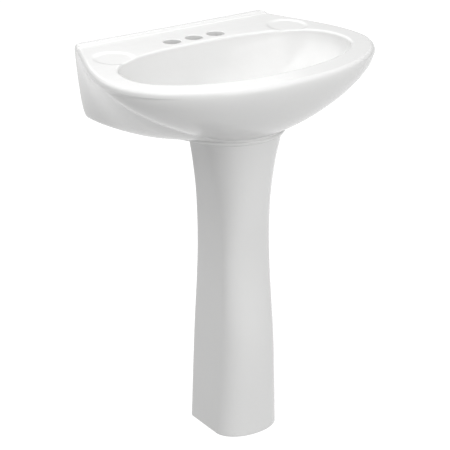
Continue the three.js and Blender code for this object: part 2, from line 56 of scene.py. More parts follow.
MM = 0.001
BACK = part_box("basin")[1].y / MM          # the face against the wall
LEDGE_UP = 4.0
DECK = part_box("basin")[1].z / MM - LEDGE_UP
TAP_LINE = BACK - 93.0                    # the tap holes' centres
MIDDLE = TAP_LINE - 160.0                 # middle of the bowl
WIDEST = TAP_LINE - 155.0
FRONT = TAP_LINE - 354.0
HALF_WIDTH = 292.5
FRONT_POWER = 2.07
BACK_HALF, BACK_CORNER = 223.0, 10.0      # half width at the wall, and the rounding of its corner
SIDE_FROM = (222.5, BACK - 8)             # where the rim's side leaves that corner
FOOT_HALF, FOOT_CORNER = 194.0, 11.0      # the same for the foot
DRAIN = sum((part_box("drain_body")[i].y for i in (0, 1))) / 2 / MM
FOOT_DEPTH = 154.0
FOOT_SIDE = (110, TAP_LINE - 151)         # where the foot's side turns into its nose
FOOT_FRONT = TAP_LINE - 239.5
NECK_DEPTH = 147.0                        # the bead round the foot starts here
RIM_ROUND, SKIN_TOP = 10.0, 12.0          # rounding of the rim, and the depth where the skirt begins
LEDGE_FOOT, LEDGE_TOP = TAP_LINE + 67, TAP_LINE + 76
BOWL_HALF, BOWL_BACK, BOWL_FRONT = 245.0, 124.0, 136.0
BOWL_BACK_POWER, BOWL_FRONT_POWER = 2.6, 2.12
BOWL_DEPTH, BOWL_LIP, LIP_DROP = 134.0, 7.0, 4.0
BOWL_POWER, BOWL_FLOOR = 1.6, 36.0        # fullness of the bowl's section, radius of its flat floor
SKIRT_POWER_BACK, SKIRT_POWER_FRONT, SKIRT_POWER_TURN = 0.3, 1.6, 2.2
HULL_MIDDLE = TAP_LINE - 203.0            # the hull shrinks towards this line as it goes down
HULL_BACK, HULL_DEPTH, HULL_POWER, HULL_ROOT = 240, 142.4, 1.48, 1.5
BEAD, EDGE_ROUND = 1.5, 6.0               # bead round the front of the foot, rounding of its sides
BEAD_SHAPE = [(0, 147), (0.5, 147.5), (0.87, 148.4), (1, 149.8), (1, 151.6), (0.8, 152.8), (0.4, 153.6),
              (0, 154)]
FOLD, FOLD_WIDTH = 9.0, 6.0               # how deep and how wide the hull turns in above the skirt
FOLD_START, FOLD_END = (0.16, 0.34), (0.80, 0.56)  # and how far from wall to front it does so
SEAM_ROUND = 1.5
SIDE_WALL, BOWL_WALL, INSIDE_TOP = 14, 10, 142     # china at the sides and under the bowl
HOLE_RADIUS, HOLE_EDGE, HOLE_PITCH = 17.5, 2.2, 50.8
CRISP = math.radians(38)                  # edges sharper than this are shaded sharp


def bezier(a, b, c, d, steps):
    t = np.linspace(0, 1, steps + 1)[:, None]
    a, b, c, d = (np.array(p, float) for p in (a, b, c, d))
    return (1 - t) ** 3 * a + 3 * (1 - t) ** 2 * t * b + 3 * (1 - t) * t ** 2 * c + t ** 3 * d


def oval_quarter(across, along, power, steps=90):
    """From the side (x = across) round to y = along, as a superellipse."""
    turn = np.linspace(0, math.pi / 2, steps + 1)
    x = across * np.abs(np.cos(turn)) ** (2 / power)
    y = along * np.sin(turn) ** (2 / power)
    x[-1] = 0
    return np.stack([x, y], 1)


def smooth(low, high, value):
    t = np.clip((value - low) / (high - low), 0, 1)
    return t * t * (3 - 2 * t)


def reach(outline, turns):
    """Distance from the middle of the bowl to a right-hand half outline, for each turn from the back."""
    x, y = outline[:, 0], outline[:, 1] - MIDDLE
    swing = np.maximum.accumulate(np.arctan2(x, y))
    half = np.where(turns > math.pi, 2 * math.pi - turns, turns)
    i = np.clip(np.searchsorted(swing, half) - 1, 0, len(x) - 2)
    ax, ay, ex, ey = x[i], y[i], x[i + 1] - x[i], y[i + 1] - y[i]
    return (ax * ey - ay * ex) / (np.sin(half) * ey - np.cos(half) * ex)


def corner_arc(x, y, radius, until, steps=10):
    turn = np.linspace(0, until, steps + 1)[:, None]
    return np.hstack([x - radius + radius * np.sin(turn), y - radius + radius * np.cos(turn)])


def front_curve():
    """The round front of the rim, from its widest place to the middle."""
    return oval_quarter(HALF_WIDTH, FRONT - WIDEST, FRONT_POWER) + [0, WIDEST]


def rim_parts():
    """Back edge, corner, and side with front, each from the wall forwards."""
    back = np.array([[0, BACK], [BACK_HALF - BACK_CORNER, BACK]], float)
    corner = corner_arc(BACK_HALF, BACK, BACK_CORNER, 1.2)
    side = bezier(SIDE_FROM, (252, TAP_LINE), (HALF_WIDTH, TAP_LINE - 80), (HALF_WIDTH, WIDEST), 60)
    return back, corner, np.vstack([side[1:], front_curve()[1:]])


def foot_parts():
    """The same for the foot: its side narrows to a round nose over the column."""
    back = np.array([[0, BACK], [FOOT_HALF - FOOT_CORNER, BACK]], float)
    corner = corner_arc(FOOT_HALF, BACK, FOOT_CORNER, 1.45)
    side = bezier((FOOT_HALF, TAP_LINE + 78), (193, TAP_LINE), (145, TAP_LINE - 92), FOOT_SIDE, 60)
    nose = bezier(FOOT_SIDE, (98, TAP_LINE - 185), (60, FOOT_FRONT), (0, FOOT_FRONT), 60)
    return back, corner, np.vstack([side[1:], nose[1:]])


def respaced(points, steps, settle=1):
    """Points of a polyline evenly round the middle of the bowl; settle hurries them to the common spacing."""
    swing = np.maximum.accumulate(np.arctan2(points[:, 0], points[:, 1] - MIDDLE))
    left = np.linspace(1, 0, steps + 1)
    common = SIDE_START if settle > 1 else swing[0]
    at = swing[-1] - left * (swing[-1] - common) - (common - swing[0]) * left ** settle
    return np.stack([np.interp(at, swing, points[:, 0]), np.interp(at, swing, points[:, 1])], 1)


def matched(parts):
    """The three parts of an outline, point for point with the other outline's."""
    back, corner, side = parts
    return np.vstack([respaced(back, 12), respaced(corner, 14)[1:], respaced(side, 240, 8)[1:]])


SIDE_START = math.atan2(SIDE_FROM[0], SIDE_FROM[1] - MIDDLE)
RIM = matched(rim_parts())
FOOT = matched(foot_parts())
HULL = np.vstack([(oval_quarter(HALF_WIDTH, HULL_BACK, 2) + [0, WIDEST])[::-1], front_curve()[1:]])


def rounded_max(a, b, round_by):
    share = np.clip(1 - np.abs(a - b) / round_by, 0, 1)
    return np.maximum(a, b) + share ** 2 * round_by / 4


def forward(turns):
    """0 at the wall, a half at the sides and 1 at the front."""
    return (1 - np.cos(turns)) / 2


def frontness(turns):
    """0 along the wall and the sides, rising to 1 round the front."""
    return smooth(0.2, 0.6, forward(turns))


def skirt_reach(turns, depth):
    """The skirt at a depth: the foot's outline below, spread to the rim's outline above."""
    swing = np.arctan2(RIM[:, 0], RIM[:, 1] - MIDDLE)
    edge = FOOT_DEPTH - 0.5
    neck = edge - (edge - NECK_DEPTH) * frontness(swing)
    rise = np.clip((neck - depth) / (neck - SKIN_TOP), 0, 1)
    power = SKIRT_POWER_BACK + (SKIRT_POWER_FRONT - SKIRT_POWER_BACK) * forward(swing) ** SKIRT_POWER_TURN
    spread = (rise ** power)[:, None]
    return reach(FOOT + (RIM - FOOT) * spread, turns)


def hull_reach(turns, depth):
    """The round hull at a depth, or nothing once it has shrunk to the front of the bowl's middle."""
    sunk = min(max(depth - SKIN_TOP, 0) / HULL_DEPTH, 1)
    size = (1 - sunk ** HULL_POWER) ** (1 / HULL_ROOT)
    shrunk = np.stack([HULL[:, 0] * size, HULL_MIDDLE + (HULL[:, 1] - HULL_MIDDLE) * size], 1)
    return reach(shrunk, turns) if shrunk[0, 1] > MIDDLE + 1 else 0 * turns


def outside(turns, depth):
    """Skirt or hull, whichever stands out; along the sides the hull turns in where it meets the skirt."""
    skirt, hull = skirt_reach(turns, depth), hull_reach(turns, depth)
    beside = smooth(*FOLD_START, forward(turns)) * smooth(*FOLD_END, forward(turns))
    folded = hull - FOLD * beside * np.exp(-np.maximum(hull - skirt, 0) / FOLD_WIDTH)
    return np.minimum(reach(RIM, turns), rounded_max(skirt, folded, SEAM_ROUND))


def bowl_edge(turns):
    """Reach of the bowl's lip, a little squarer at the back than at the front."""
    behind = np.cos(turns) > 0
    along = np.where(behind, BOWL_BACK, BOWL_FRONT)
    power = np.where(behind, BOWL_BACK_POWER, BOWL_FRONT_POWER)
    return ((np.abs(np.sin(turns)) / BOWL_HALF) ** power
            + (np.abs(np.cos(turns)) / along) ** power) ** (-1 / power)


def bowl_at(turns, share, out=0.0):
    """Bowl surface between the drain (share 0) and the lip (share 1), as radius, middle and depth."""
    tilt = share * math.pi / 2
    opened = math.sin(tilt) ** (2 / BOWL_POWER)
    depth = BOWL_DEPTH * max(math.cos(tilt), 0) ** (2 / BOWL_POWER) + LIP_DROP + out * math.cos(tilt)
    radius = BOWL_FLOOR + (bowl_edge(turns) - BOWL_FLOOR) * opened + out * math.sin(tilt)
    return radius, DRAIN + (MIDDLE - DRAIN) * opened, depth + 0 * turns


DISH_X, DISH_Y, DISH_HALF, DISH_LONG, DISH_DEPTH = 202.0, TAP_LINE - 33.0, 42.0, 48.0, 1.5


def dish_drop(x, y):
    """Shallow soap dish in each back corner, running out into the bowl."""
    out = np.sqrt(((np.abs(x) - DISH_X) / DISH_HALF) ** 2 + ((y - DISH_Y) / DISH_LONG) ** 2)
    return DISH_DEPTH * (1 - smooth(0.78, 1.0, out))


def deck_height(x, y):
    return LEDGE_UP * smooth(LEDGE_FOOT, LEDGE_TOP, y) - dish_drop(x, y)


def no_further_back(turns, y, margin):
    """Distance to the rim less a margin, stopped at the line y behind the tap holes."""
    rim = reach(RIM, turns) - margin
    line = (y - MIDDLE) / np.maximum(np.cos(turns), 0.05)
    return np.where(np.cos(turns) > 0.05, np.minimum(rim, line), rim)


def basin_turns():
    """Turns round the basin from the back, closer together past its square back corners."""
    fine = np.arange(36, 72, 0.6)
    half = np.concatenate([np.arange(0, 36, 1.5), fine, np.arange(72, 180, 1.5)])
    return np.radians(np.concatenate([half, [180], 360 - half[:0:-1]]))


def bowl_rings(turns):
    """Up the recess that the drain's flange sits in, and on up the bowl."""
    recess = [(22.5, 168), (22.5, 142), (23.5, 141), (33.6, 141), (34, 140.6), (34, 139.4), (34.6, 138.4)]
    bowl = [bowl_at(turns, share) for share in np.linspace(0.004, 1, 52)]
    return [(radius, DRAIN, depth) for radius, depth in recess] + bowl


def on_deck(turns, radius, drop=0.0, share=1.0):
    """A ring on the deck, let down by drop and following a share of the deck's own shape."""
    height = deck_height(radius * np.sin(turns), MIDDLE + radius * np.cos(turns))
    return radius, MIDDLE, drop - share * height


def deck_rings(turns):
    """Over the bowl's lip, across the deck and up the ledge."""
    edge, rim, found = bowl_edge(turns), reach(RIM, turns), []
    for tilt in np.radians(np.arange(12, 91, 13)):
        drop = LIP_DROP * (1 - math.sin(tilt))
        found.append(on_deck(turns, edge + BOWL_LIP * (1 - math.cos(tilt)), drop, 1 - drop / LIP_DROP))
    ledge_foot = no_further_back(turns, LEDGE_FOOT - 0.5, RIM_ROUND + 8)
    ledge_top = no_further_back(turns, LEDGE_TOP + 0.5, RIM_ROUND + 2)
    stops = [edge + BOWL_LIP, ledge_foot, ledge_top, rim - RIM_ROUND]
    for start, end, steps in zip(stops, stops[1:], (34, 9, 4)):
        for step in range(1, steps + 1):
            found.append(on_deck(turns, start + (end - start) * step / steps))
    return found


def rim_rings(turns):
    """Round the rim's edge and down to where skirt and hull begin."""
    rim, found = reach(RIM, turns), []
    for tilt in np.radians(np.arange(9, 91, 9)):
        found.append(on_deck(turns, rim - RIM_ROUND * (1 - math.sin(tilt)), RIM_ROUND * (1 - math.cos(tilt))))
    low_edge = RIM_ROUND - LEDGE_UP * smooth(LEDGE_FOOT, LEDGE_TOP, MIDDLE + rim * np.cos(turns))
    for share in (0.33, 0.66):
        found.append((outside(turns, SKIN_TOP), MIDDLE, low_edge + (SKIN_TOP - low_edge) * share))
    return found


def tucked(depth):
    """How far the rounded edge of the foot has drawn in at a depth."""
    sunk = max((depth - FOOT_DEPTH) / EDGE_ROUND + 1, 0)
    return EDGE_ROUND * (1 - math.sqrt(max(1 - sunk ** 2, 0)))


def skin_rings(turns):
    """Down the outside, over the bead and in under the foot."""
    depths = np.concatenate([np.arange(SKIN_TOP, 30, 1.5), np.arange(30, NECK_DEPTH, 2.6)])
    found = [(outside(turns, depth), MIDDLE, depth) for depth in depths]
    front = frontness(turns)
    for share, depth in BEAD_SHAPE:
        bead, tuck = BEAD * share * front, tucked(depth) * (1 - front)
        found.append((outside(turns, depth) + bead - tuck, MIDDLE, depth))
    return found + [(reach(FOOT, turns) - EDGE_ROUND - 1, MIDDLE, FOOT_DEPTH)]


def basin_rings():
    """Points of the whole basin, ring by ring, and how many of the rings are glazed."""
    turns = basin_turns()
    glazed = bowl_rings(turns) + deck_rings(turns) + rim_rings(turns) + skin_rings(turns)
    rings = [
        np.stack([radius * np.sin(turns), middle + radius * np.cos(turns), DECK - depth + 0 * turns], 1)
        for radius, middle, depth in glazed + under_rings(turns)
    ]
    return np.array(rings) * MM, len(glazed)


def opening_outline():
    """Inside edge of the flat foot, over the open back of the column."""
    inside = BACK - 12
    seat = oval_quarter(64, -64, 2, 30) + [0, TAP_LINE - 150]
    side = bezier((180, inside - 15), (176, TAP_LINE + 10), (72, TAP_LINE - 70), (64, TAP_LINE - 110), 50)
    return np.vstack([[[0, inside], [172, inside], [178, inside - 3], [180, inside - 8]], side, seat])


def under_bowl(turns, depth):
    """Reach of the underside of the bowl at a depth."""
    widest = 0 * turns
    for share in np.linspace(0.14, 1, 60):
        radius, middle, level = bowl_at(turns, share, BOWL_WALL)
        widest = np.where(level >= depth, radius + (middle - MIDDLE) * np.cos(turns), widest)
    return widest


def under_rings(turns):
    """From the foot up the inside of the skirt, back under the bowl and down to the drain hole."""
    seat = reach(opening_outline(), turns)
    found = [(seat, MIDDLE, FOOT_DEPTH)]
    for depth in (152, 146, 138, 128, 116, 104, 92, 80, 68, 56, 44, 34, 26, 20, 17, 16):
        inside = np.maximum(outside(turns, min(depth, INSIDE_TOP)) - SIDE_WALL, under_bowl(turns, depth) + 5)
        blend = smooth(FOOT_DEPTH, INSIDE_TOP, depth)
        found.append((seat * (1 - blend) + inside * blend, MIDDLE, depth))
    found += [bowl_at(turns, share, BOWL_WALL) for share in np.linspace(0.92, 0.14, 16)]
    return found + [(radius, DRAIN, depth) for radius, depth in ((41, 154), (40.6, 167.4), (40, 168))]


def shell(name, rings):
    """A mesh from rings of points; each ring closes on itself, and the last ring on the first."""
    count, around = rings.shape[:2]
    i, j = np.meshgrid(np.arange(count), np.arange(around), indexing="ij")
    k, n = (j + 1) % around, (i + 1) % count
    faces = np.stack([i * around + j, i * around + k, n * around + k, n * around + j], -1).reshape(-1, 4)
    mesh = bpy.data.meshes.new(name)
    mesh.from_pydata(rings.reshape(-1, 3).tolist(), [], faces.tolist())
    if sum(p.area * p.normal.dot(p.center) for p in mesh.polygons) < 0:
        mesh.flip_normals()
    return finished(name, mesh)


def finished(name, mesh):
    mesh.validate()
    mesh.shade_smooth()
    mesh.set_sharp_from_angle(angle=CRISP)
    made = bpy.data.objects.new(name, mesh)
    bpy.context.scene.collection.objects.link(made)
    return made


def turned(profile, steps, at=(0, 0)):
    """Rings of a piece turned about an upright axis, from its radius and height pairs."""
    turn = np.linspace(0, 2 * math.pi, steps, endpoint=False)
    return np.array([
        np.stack([at[0] + r * np.cos(turn), at[1] + r * np.sin(turn), z + 0 * turn], 1) for r, z in profile
    ])


def bored(body, cutters):
    """Cuts holes in a body and keeps the result as its mesh."""
    for cutter in cutters:
        cut = body.modifiers.new("bore", "BOOLEAN")
        cut.operation = "DIFFERENCE"
        cut.solver = "MANIFOLD"
        cut.object = cutter
    graph = bpy.context.evaluated_depsgraph_get()
    mesh = bpy.data.meshes.new_from_object(body.evaluated_get(graph))
    body.modifiers.clear()
    body.data = mesh
    for cutter in cutters:
        bpy.data.objects.remove(cutter)
    mesh.shade_smooth()
    mesh.set_sharp_from_angle(angle=CRISP)


def tap_hole_cutter(x):
    """A plug for a 35 mm hole with a rounded top edge."""
    shoulder = DECK - HOLE_EDGE
    profile = [(0.01, DECK - 40), (HOLE_RADIUS, DECK - 40), (HOLE_RADIUS, shoulder)]
    for tilt in np.radians(np.arange(12, 85, 12)):
        wider = HOLE_EDGE * (1 - math.cos(tilt))
        profile.append((HOLE_RADIUS + wider, shoulder + HOLE_EDGE * math.sin(tilt)))
    profile += [(20.2, DECK + 1), (20.2, DECK + 12), (0.01, DECK + 12)]
    return shell("tap_hole_cutter", turned(profile, 72, (x, TAP_LINE)) * MM)


def wall_hole_cutter(x, z):
    """A plug for a bolt's hole through the back wall."""
    rings = turned([(0.01, -10), (8, -10), (8, 30), (0.01, 30)], 40)
    lying = np.stack([x + rings[..., 0], BACK + 8 - rings[..., 2], z + rings[..., 1]], -1)
    return shell("wall_hole_cutter", lying * MM)


BOLT_X = (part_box("hanger_bolt_right")[0].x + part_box("hanger_bolt_right")[1].x) / 2 / MM
BOLT_Z = (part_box("hanger_bolt_right")[0].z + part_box("hanger_bolt_right")[1].z) / 2 / MM


class Level:
    """A number that varies over a surface: wraps a shader socket, so that sums read as sums."""

    def __init__(self, tree, socket):
        self.tree = tree
        self.socket = socket

    def maths(self, operation, first, second):
        node = self.tree.nodes.new("ShaderNodeMath")
        node.operation = operation
        for place, item in zip(node.inputs, (first, second)):
            if isinstance(item, Level):
                self.tree.links.new(item.socket, place)
            else:
                place.default_value = item
        return Level(self.tree, node.outputs[0])

    def __add__(self, other):
        return self.maths("ADD", self, other)

    def __sub__(self, other):
        return self.maths("SUBTRACT", self, other)

    def __rsub__(self, other):
        return self.maths("SUBTRACT", other, self)

    def __mul__(self, other):
        return self.maths("MULTIPLY", self, other)

    def __lt__(self, other):
        return self.maths("LESS_THAN", self, other)

    def __gt__(self, other):
        return self.maths("GREATER_THAN", self, other)

    __radd__ = __add__
    __rmul__ = __mul__


class Finish:
    """A material being mixed: fixed values sit on its shader, and what varies comes from nodes."""

    def __init__(self, name, **fixed):
        self.material = bpy.data.materials.new(name)
        self.material.use_nodes = True
        self.tree = self.material.node_tree
        self.shader = self.tree.nodes["Principled BSDF"]
        for socket, value in fixed.items():
            self.shader.inputs[socket.replace("_", " ")].default_value = value
        self.place = self.node("ShaderNodeTexCoord", output="Object")

    def node(self, kind, settings=None, sockets=None, output=0):
        made = self.tree.nodes.new(kind)
        for name, value in (settings or {}).items():
            setattr(made, name, value)
        for name, value in (sockets or {}).items():
            self.feed(made.inputs[name], value)
        return Level(self.tree, made.outputs[output])

    def feed(self, place, value):
        if isinstance(value, Level):
            self.tree.links.new(value.socket, place)
        else:
            place.default_value = value

    def varies(self, **inputs):
        for socket, value in inputs.items():
            self.feed(self.shader.inputs[socket.replace("_", " ")], value)

    def noise(self, scale, detail=2.0, roughness=0.5):
        return self.node("ShaderNodeTexNoise", {}, {
            "Vector": self.place, "Scale": scale, "Detail": detail, "Roughness": roughness})

    def blend(self, share, first, second):
        """Between two colours."""
        return self.node("ShaderNodeMix", {"data_type": "RGBA"}, {0: share, 6: first, 7: second}, 2)

    def bump(self, height, distance, strength=1.0, below=None):
        sockets = {"Height": height, "Distance": distance, "Strength": strength}
        if below is not None:
            sockets["Normal"] = below
        return self.node("ShaderNodeBump", {}, sockets)


def glazed_china():
    """White glaze: deep gloss, a slow ripple where the glaze ran, and the faintest mottle."""
    glaze = Finish("glazed_china", IOR=1.45, Coat_Roughness=0.05, Coat_IOR=1.5)
    slow = glaze.noise(7, 2)
    fine = glaze.noise(260, 3)
    colour = glaze.blend(slow * 0.7 + fine * 0.3, (0.765, 0.765, 0.76, 1), (0.80, 0.80, 0.795, 1))
    ripple = glaze.bump(glaze.noise(34, 1.5), 0.00035)
    skin = glaze.bump(fine, 0.00001, below=ripple)
    glaze.varies(Base_Color=colour, Roughness=0.16 + 0.10 * slow, Coat_Weight=0.05 + 0.08 * slow, Normal=skin)
    return glaze.material


def bare_china():
    """Inside of the casting: thin rough glaze over a cream body, with sponge marks."""
    body = Finish("bare_china", IOR=1.5)
    wipe = body.noise(22, 4, 0.6)
    grit = body.noise(420, 2)
    colour = body.blend(wipe, (0.40, 0.39, 0.37, 1), (0.50, 0.49, 0.47, 1))
    relief = body.bump(wipe * 0.8 + grit * 0.2, 0.0009)
    body.varies(Base_Color=colour, Roughness=0.45 + 0.3 * grit, Normal=relief)
    return body.material


def fitted(piece, finish, node, body="sink"):
    """Gives a piece its finish, and puts it in the place of its plain solid."""
    piece.data.materials.append(finish)
    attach(piece, body)
    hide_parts(node)
    return piece


china = glazed_china()
basin_points, glazed_count = basin_rings()
basin = fitted(shell("china_basin", basin_points), china, "basin")
basin.data.materials.append(bare_china())
unglazed = np.arange(len(basin_points)) >= glazed_count
basin.data.polygons.foreach_set("material_index", np.repeat(unglazed.astype(np.int32), basin_points.shape[1]))
holes = [tap_hole_cutter(x) for x in (-HOLE_PITCH, 0, HOLE_PITCH)]
bored(basin, holes + [wall_hole_cutter(x, BOLT_Z) for x in (-BOLT_X, BOLT_X)])

# ------------------------------------------------------------------ drain body
# The chromed brass body of the drain: a dished flange that sits in the bowl's recess, and a
# threaded tube below it with two overflow windows. A rubber ring beds the flange.


def eased(profile, ease=0.35):
    """Rounds the corners of a closed profile of radius and height pairs."""
    points = np.array(profile, float)
    found = []
    for before, here, after in zip(np.roll(points, 1, 0), points, np.roll(points, -1, 0)):
        if here[0] < 0.05:
            found.append(here)
            continue
        into, out = before - here, after - here
        into *= min(ease / max(np.linalg.norm(into), 1e-6), 0.45)
        out *= min(ease / max(np.linalg.norm(out), 1e-6), 0.45)
        for t in (0, 0.33, 0.67, 1):
            found.append(here + into * (1 - t) ** 2 + out * t ** 2)
    return found


def thread(radius, low, high, pitch=1.5, cut=0.7):
    """Crests and roots of a thread, as radius and depth pairs from low to high."""
    turns = int((high - low) / pitch)
    return [(radius - cut * (k % 2), low + (high - low) * k / (2 * turns)) for k in range(2 * turns + 1)]


def drain_piece(name, profile, steps=72, ease=0.35):
    """A piece turned on the drain's axis, from radius and depth pairs."""
    heights = [(max(r, 0.01), DECK - d) for r, d in (eased(profile, ease) if ease else profile)]
    return shell(name, turned(heights, steps, (0, DRAIN)) * MM)


def block(name, low, high):
    corners = [(x, y, z) for x in (low[0], high[0]) for y in (low[1], high[1]) for z in (low[2], high[2])]
    sides = [(0, 1, 3, 2), (4, 6, 7, 5), (0, 4, 5, 1), (2, 3, 7, 6), (0, 2, 6, 4), (1, 5, 7, 3)]
    mesh = bpy.data.meshes.new(name)
    mesh.from_pydata([[c * MM for c in p] for p in corners], [], sides)
    return finished(name, mesh)


def polished_chrome():
    """Bright chrome plate with faint wiping marks and water spots."""
    plate = Finish("polished_chrome", Metallic=1.0)
    haze = plate.noise(90, 4)
    spots = plate.node("ShaderNodeTexVoronoi", {"feature": "F1"}, {
        "Vector": plate.place, "Scale": 420.0}, "Distance")
    dull = (spots < 0.18) * 0.10
    plate.varies(
        Base_Color=plate.blend(haze, (0.70, 0.71, 0.72, 1), (0.80, 0.81, 0.83, 1)),
        Roughness=0.05 + 0.09 * haze + dull,
        Normal=plate.bump(plate.noise(300, 2), 0.00002))
    return plate.material


def black_rubber():
    """Moulded rubber, matt with a faint bloom."""
    rubber = Finish("black_rubber", IOR=1.48)
    bloom = rubber.noise(160, 3)
    grain = rubber.noise(1500, 2)
    rubber.varies(
        Base_Color=rubber.blend(bloom, (0.018, 0.018, 0.019, 1), (0.05, 0.05, 0.052, 1)),
        Roughness=0.68 + 0.2 * bloom,
        Normal=rubber.bump(grain, 0.00008))
    return rubber.material


chrome, rubber = polished_chrome(), black_rubber()
flange = [(16.5, 139.4), (19, 136.9), (24, 136.7), (29.2, 136.8), (30.2, 136.2), (31, 136), (32, 136),
          (32.8, 137.3), (32, 138.6), (19.5, 138.6), (19.5, 170)]
tube = eased(flange, 0.3)[:-4] + thread(19.5, 171, 230) + [(18.9, 232), (16.5, 232)]
drain_body = drain_piece("drain_body_chromed", tube, 96, 0)
window = block("overflow_window", (-30, DRAIN - 5, DECK - 161), (30, DRAIN + 5, DECK - 149))
bored(drain_body, [window])
fitted(drain_body, chrome, "drain_body")
flange_ring = drain_piece("flange_bed_ring", [(23.2, 140.7), (32, 140.7), (32, 138.9), (23.2, 138.9)])
fitted(flange_ring, rubber, "flange_gasket")

# ------------------------------------------------------------------ drain fixing under the bowl
# From below, a tapered rubber washer seals the hole, a slippery nylon washer lets the nut
# turn, and a six-sided brass nut draws the body down.


def six_sided(name, across, bore, low, high, place):
    """A nut with chamfered corners: rings from the bore out over the top, down the flats and back."""
    turn = np.linspace(0, 2 * math.pi, 96, endpoint=False)
    flat = across / 2 / np.cos((turn + math.pi / 6) % (math.pi / 3) - math.pi / 6)
    crown = across / 2 * 0.96
    fall = np.maximum(flat - crown, 0) * 0.5
    rows = [(bore, low + 0.6), (bore, high - 0.6), (bore + 0.6, high), (crown, high), (flat, high - fall),
            (flat, low + fall), (crown, low), (bore + 0.6, low)]
    rings = [np.stack([r * np.cos(turn), r * np.sin(turn), z + 0 * turn], 1) for r, z in rows]
    return shell(name, place(np.array(rings)) * MM)


def on_drain(rings):
    return rings + np.array([0, DRAIN, 0])


def turned_brass():
    """Raw brass as it leaves the lathe, a little browned."""
    brass = Finish("turned_brass", Metallic=1.0)
    tarnish = brass.noise(60, 5, 0.65)
    cuts = brass.node("ShaderNodeTexWave", {"wave_type": "BANDS", "bands_direction": "Z"}, {
        "Vector": brass.place, "Scale": 700.0, "Distortion": 1.0})
    brass.varies(
        Base_Color=brass.blend(tarnish, (0.50, 0.35, 0.14, 1), (0.78, 0.60, 0.29, 1)),
        Roughness=0.26 + 0.22 * tarnish,
        Normal=brass.bump(cuts, 0.00004))
    return brass.material


def white_nylon():
    nylon = Finish("white_nylon", IOR=1.53)
    shade = nylon.noise(120, 3)
    nylon.varies(
        Base_Color=nylon.blend(shade, (0.72, 0.71, 0.66, 1), (0.82, 0.81, 0.77, 1)),
        Roughness=0.42 + 0.15 * shade,
        Normal=nylon.bump(nylon.noise(1100, 2), 0.00004))
    return nylon.material


brass, nylon = turned_brass(), white_nylon()
cone = drain_piece("tapered_rubber_washer", [
    (20.3, 176), (31, 176), (31, 168.3), (22.1, 168.3), (21.6, 163), (20.3, 163)], ease=0.8)
fitted(cone, rubber, "tapered_washer")
slip = drain_piece("slip_washer_nylon", [(20.3, 177.5), (30, 177.5), (30, 176.3), (20.3, 176.3)], ease=0.3)
fitted(slip, nylon, "friction_washer")
locknut = six_sided("brass_locknut", 56, 20.2, DECK - 188.8, DECK - 177.8, on_drain)
fitted(locknut, brass, "drain_locknut")

# ------------------------------------------------------------------ tailpiece
# A chromed tube screwed up into the drain body against a rubber ring. The trap's slip nut
# closes on its plain lower end.

tail = drain_piece("tailpiece_tube", [
    (14.4, 400), (15.9, 400), (15.9, 238), (19.3, 238), (19.3, 234.1), (15.9, 234.1)]
    + thread(15.9, 233, 213, 1.4, 0.5) + [(15.5, 212), (14.4, 212)], 72, 0)
fitted(tail, chrome, "tailpiece")
tail_ring = drain_piece("tailpiece_seal_ring", [(16.4, 233.8), (19.3, 233.8), (19.3, 232.3), (16.4, 232.3)])
fitted(tail_ring, rubber, "tailpiece_gasket")

# ------------------------------------------------------------------ click stopper
# A push on the cap lets the spring in the nylon cartridge lift it, and the next push shuts
# it. The cap, its pin and its seal move as one on the cartridge fixed in the drain body.

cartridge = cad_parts["click_cartridge"]
cartridge.data.materials.clear()
cartridge.data.materials.append(nylon)


def drawn_steel():
    wire = Finish("drawn_steel", Metallic=1.0)
    shade = wire.noise(200, 3)
    wire.varies(
        Base_Color=wire.blend(shade, (0.42, 0.43, 0.45, 1), (0.60, 0.61, 0.63, 1)),
        Roughness=0.22 + 0.15 * shade,
        Normal=wire.bump(wire.noise(1800, 2), 0.00002))
    return wire.material


def zinc_plate():
    """Zinc on steel: a dull blue-white skin with a fine spangle."""
    zinc = Finish("zinc_plate", Metallic=1.0)
    spangle = zinc.node("ShaderNodeTexVoronoi", {"feature": "F1"}, {
        "Vector": zinc.place, "Scale": 700.0}, "Distance")
    cloud = zinc.noise(130, 4)
    zinc.varies(
        Base_Color=zinc.blend(spangle * 0.6 + cloud * 0.4, (0.46, 0.48, 0.50, 1), (0.66, 0.67, 0.68, 1)),
        Roughness=0.30 + 0.22 * cloud,
        Normal=zinc.bump(cloud, 0.00004))
    return zinc.material


def coil(name, radius, wire, low, high, turns):
    """A wire spring on the drain's axis, as a curve with a round section."""
    line = bpy.data.curves.new(name, "CURVE")
    line.dimensions = "3D"
    line.bevel_depth = wire * MM
    line.bevel_resolution = 4
    line.use_fill_caps = True
    steps = turns * 28
    path = line.splines.new("POLY")
    path.points.add(steps)
    for k, point in enumerate(path.points):
        turn = 2 * math.pi * turns * k / steps
        point.co = (radius * math.cos(turn) * MM, (DRAIN + radius * math.sin(turn)) * MM,
                    (low + (high - low) * k / steps) * MM, 1)
    made = bpy.data.objects.new(name, line)
    bpy.context.scene.collection.objects.link(made)
    return made


zinc = zinc_plate()
spring_low, spring_high = (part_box("cartridge_spring")[i].z / MM for i in (0, 1))
spring = coil("stopper_spring", 3.4, 0.6, spring_low + 0.6, spring_high - 0.6, 5)
fitted(spring, drawn_steel(), "cartridge_spring")
pin = drain_piece("stopper_pin", [(0, 168), (4.3, 168), (4.3, 141), (6.5, 141), (6.5, 135.1), (0, 135.1)], 48)
fitted(pin, zinc, "stopper_stem", "stopper")
lip = drain_piece("stopper_lip_ring", [(20, 136.5), (25, 136.5), (25, 135.1), (20, 135.1)], ease=0.6)
fitted(lip, rubber, "stopper_seal", "stopper")
dome = [(r, 130.8 + 2.2 * (r / 28.6) ** 2) for r in np.linspace(0, 28.2, 14)]
dome += [(28.8, 133.3), (29, 133.9), (28.7, 134.5), (27.5, 134.8), (0, 134.8)]
cap = drain_piece("stopper_cap_dome", dome, 96, 0)
fitted(cap, chrome, "stopper_cap", "stopper")

